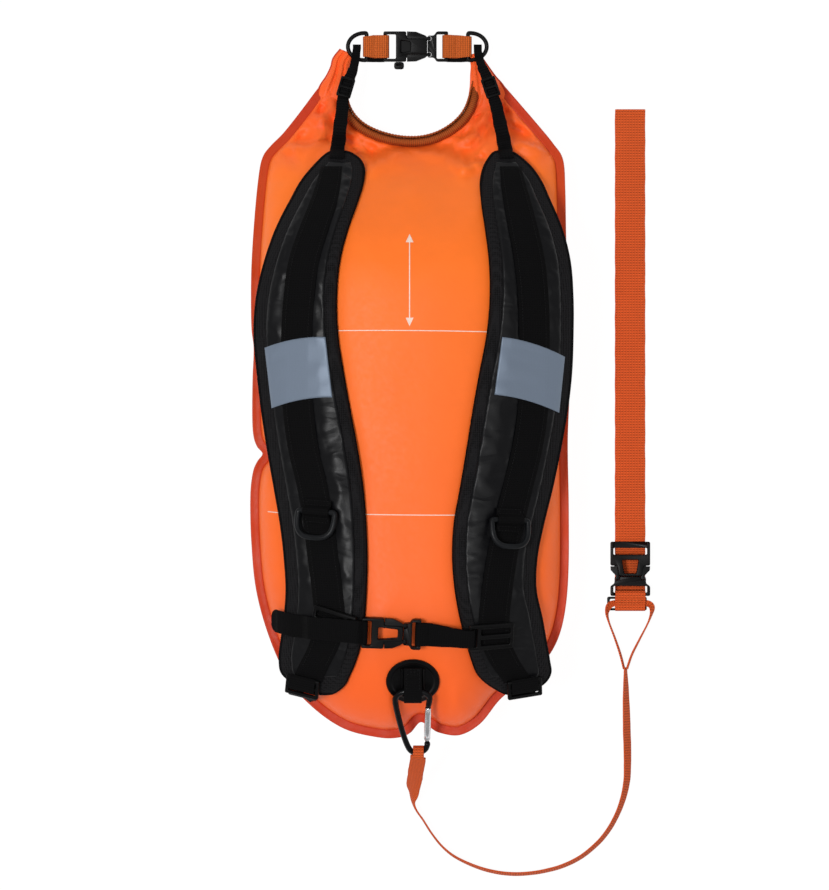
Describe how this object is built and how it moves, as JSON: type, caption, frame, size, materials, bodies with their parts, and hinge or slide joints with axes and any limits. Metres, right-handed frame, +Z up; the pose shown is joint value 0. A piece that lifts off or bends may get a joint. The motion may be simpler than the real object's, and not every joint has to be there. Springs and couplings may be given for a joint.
{
  "type": "open water swim buoy",
  "caption": "Inflated dry-bag tow float with a rolled mouth, padded backpack harness, carabiner, webbing leash and folded waist belt, lying harness side up.",
  "frame": {"origin": "middle of the bag's flat resting face, on the floor", "axes": "+X to the bag's right as the harness is seen, +Y towards the roll top, +Z up, out of the harness side"},
  "size_m": [0.3882, 0.8127, 0.1636],
  "materials": {
    "coated_orange": "PVC-coated, satin",
    "seam_orange": "welded, satin",
    "webbing_orange": "woven",
    "belt_orange": "woven",
    "pad_black": "air mesh",
    "cover_black": "coated, glossy",
    "webbing_black": "woven",
    "reflective_grey": "reflective film",
    "plastic_black": "moulded",
    "plastic_grey": "moulded",
    "anodised_black": "anodised",
    "bright_metal": "brushed",
    "valve_grey": "moulded"
  },
  "bodies": {
    "bag": {"anchor_disc": "plastic_black", "anchor_loop": "webbing_black", "bag_body": "coated_orange", "belt_glide": "plastic_black", "belt_plug": "plastic_black", "belt_socket": "plastic_black", "belt_webbing": "belt_orange", "carabiner": "anodised_black", "closure_plug": "plastic_black", "closure_ring_left": "plastic_black", "closure_ring_right": "plastic_black", "closure_socket": "plastic_black", "closure_webbing_left": "webbing_orange", "closure_webbing_right": "webbing_orange", "gate_pin": "bright_metal", "leash": "belt_orange", "leash_eye": "belt_orange", "leash_hitch": "belt_orange", "load_slider_left": "plastic_black", "load_slider_right": "plastic_black", "load_strap_left": "webbing_black", "load_strap_right": "webbing_black", "lower_webbing_left": "webbing_black", "lower_webbing_right": "webbing_black", "mouth_webbing": "webbing_orange", "pad_cover_left": "cover_black", "pad_cover_right": "cover_black", "reflective_patch_left": "reflective_grey", "reflective_patch_right": "reflective_grey", "ring_keeper_left": "webbing_black", "ring_keeper_right": "webbing_black", "roll_top": "coated_orange", "shoulder_pad_left": "pad_black", "shoulder_pad_right": "pad_black", "shoulder_webbing_left": "webbing_black", "shoulder_webbing_right": "webbing_black", "valve_base": "valve_grey", "valve_stem": "valve_grey", "welded_seam": "seam_orange", "whistle": "plastic_black"},
    "closure_prong_upper": {"closure_prong_upper": "plastic_black"},
    "closure_prong_lower": {"closure_prong_lower": "plastic_black"},
    "belt_prong_upper": {"belt_prong_upper": "plastic_black"},
    "belt_prong_lower": {"belt_prong_lower": "plastic_black"},
    "sternum_prong_upper": {"sternum_prong_upper": "plastic_black"},
    "sternum_prong_lower": {"sternum_prong_lower": "plastic_black"},
    "sternum_strap": {"sternum_slider_left": "plastic_black", "sternum_slider_right": "plastic_black", "sternum_webbing_left": "webbing_black", "sternum_webbing_right": "webbing_black", "sternum_socket": "plastic_black", "sternum_plug": "plastic_black"},
    "strap_ring_left": {"strap_ring_left": "plastic_grey"},
    "strap_ring_right": {"strap_ring_right": "plastic_grey"},
    "ladder_lock_left": {"ladder_lock_left": "plastic_black"},
    "ladder_lock_right": {"ladder_lock_right": "plastic_black"},
    "carabiner_gate": {"carabiner_gate": "bright_metal"},
    "valve_cap": {"valve_cap": "plastic_black"}
  },
  "joints": [
    {"name": "closure_prong_upper_press", "type": "hinge", "parent": "bag", "child": "closure_prong_upper", "pos_m": [0.0176, 0.3397, 0.016], "axis": [0, 0, 1], "range_deg": [0, 6], "stiffness_Nm_per_rad": 0.05, "springref_deg": -2.86},
    {"name": "closure_prong_lower_press", "type": "hinge", "parent": "bag", "child": "closure_prong_lower", "pos_m": [0.0176, 0.3243, 0.016], "axis": [0, 0, -1], "range_deg": [0, 6], "stiffness_Nm_per_rad": 0.05, "springref_deg": -2.86},
    {"name": "sternum_prong_upper_press", "type": "hinge", "parent": "sternum_strap", "child": "sternum_prong_upper", "pos_m": [-0.00516, -0.21985, 0.15465], "axis": [-0.0064, -0.182, 0.9833], "range_deg": [0, 6], "stiffness_Nm_per_rad": 0.05, "springref_deg": -2.86},
    {"name": "sternum_prong_lower_press", "type": "hinge", "parent": "sternum_strap", "child": "sternum_prong_lower", "pos_m": [-0.00569, -0.23498, 0.15185], "axis": [0.0064, 0.182, -0.9833], "range_deg": [0, 6], "stiffness_Nm_per_rad": 0.05, "springref_deg": -2.86},
    {"name": "belt_prong_upper_press", "type": "hinge", "parent": "bag", "child": "belt_prong_upper", "pos_m": [0.2227, -0.1766, 0.0093], "axis": [0, 0, 1], "range_deg": [0, 6], "stiffness_Nm_per_rad": 0.05, "springref_deg": -2.86},
    {"name": "belt_prong_lower_press", "type": "hinge", "parent": "bag", "child": "belt_prong_lower", "pos_m": [0.1983, -0.1766, 0.0093], "axis": [0, 0, -1], "range_deg": [0, 6], "stiffness_Nm_per_rad": 0.05, "springref_deg": -2.86},
    {"name": "sternum_strap_slide", "type": "slide", "parent": "bag", "child": "sternum_strap", "axis": [0.1392, 0.9609, 0.2396], "range_m": [-0.02, 0.012]},
    {"name": "strap_ring_left_lift", "type": "hinge", "parent": "bag", "child": "strap_ring_left", "pos_m": [-0.08847, -0.11203, 0.15102], "axis": [-0.9192, 0.0758, -0.3864], "range_deg": [0, 150]},
    {"name": "strap_ring_right_lift", "type": "hinge", "parent": "bag", "child": "strap_ring_right", "pos_m": [0.0939, -0.12027, 0.14803], "axis": [-0.8997, 0.0396, 0.4348], "range_deg": [0, 150]},
    {"name": "ladder_lock_left_tilt", "type": "hinge", "parent": "bag", "child": "ladder_lock_left", "pos_m": [-0.10149, -0.27078, 0.12265], "axis": [-0.9167, 0.2208, -0.333], "range_deg": [0, 35]},
    {"name": "ladder_lock_right_tilt", "type": "hinge", "parent": "bag", "child": "ladder_lock_right", "pos_m": [0.10792, -0.27257, 0.11568], "axis": [-0.9545, -0.1485, 0.2587], "range_deg": [0, 35]},
    {"name": "carabiner_gate_press", "type": "hinge", "parent": "bag", "child": "carabiner_gate", "pos_m": [0.0158, -0.32814, 0.09835], "axis": [0, -0.5446, 0.8387], "range_deg": [0, 22], "stiffness_Nm_per_rad": 0.05, "springref_deg": -5.73},
    {"name": "valve_cap_turn", "type": "hinge", "parent": "bag", "child": "valve_cap", "pos_m": [-0.10875, -0.15091, 0.02083], "axis": [-0.535, 0, -0.8449], "range_deg": [0, 90]}
  ]
}
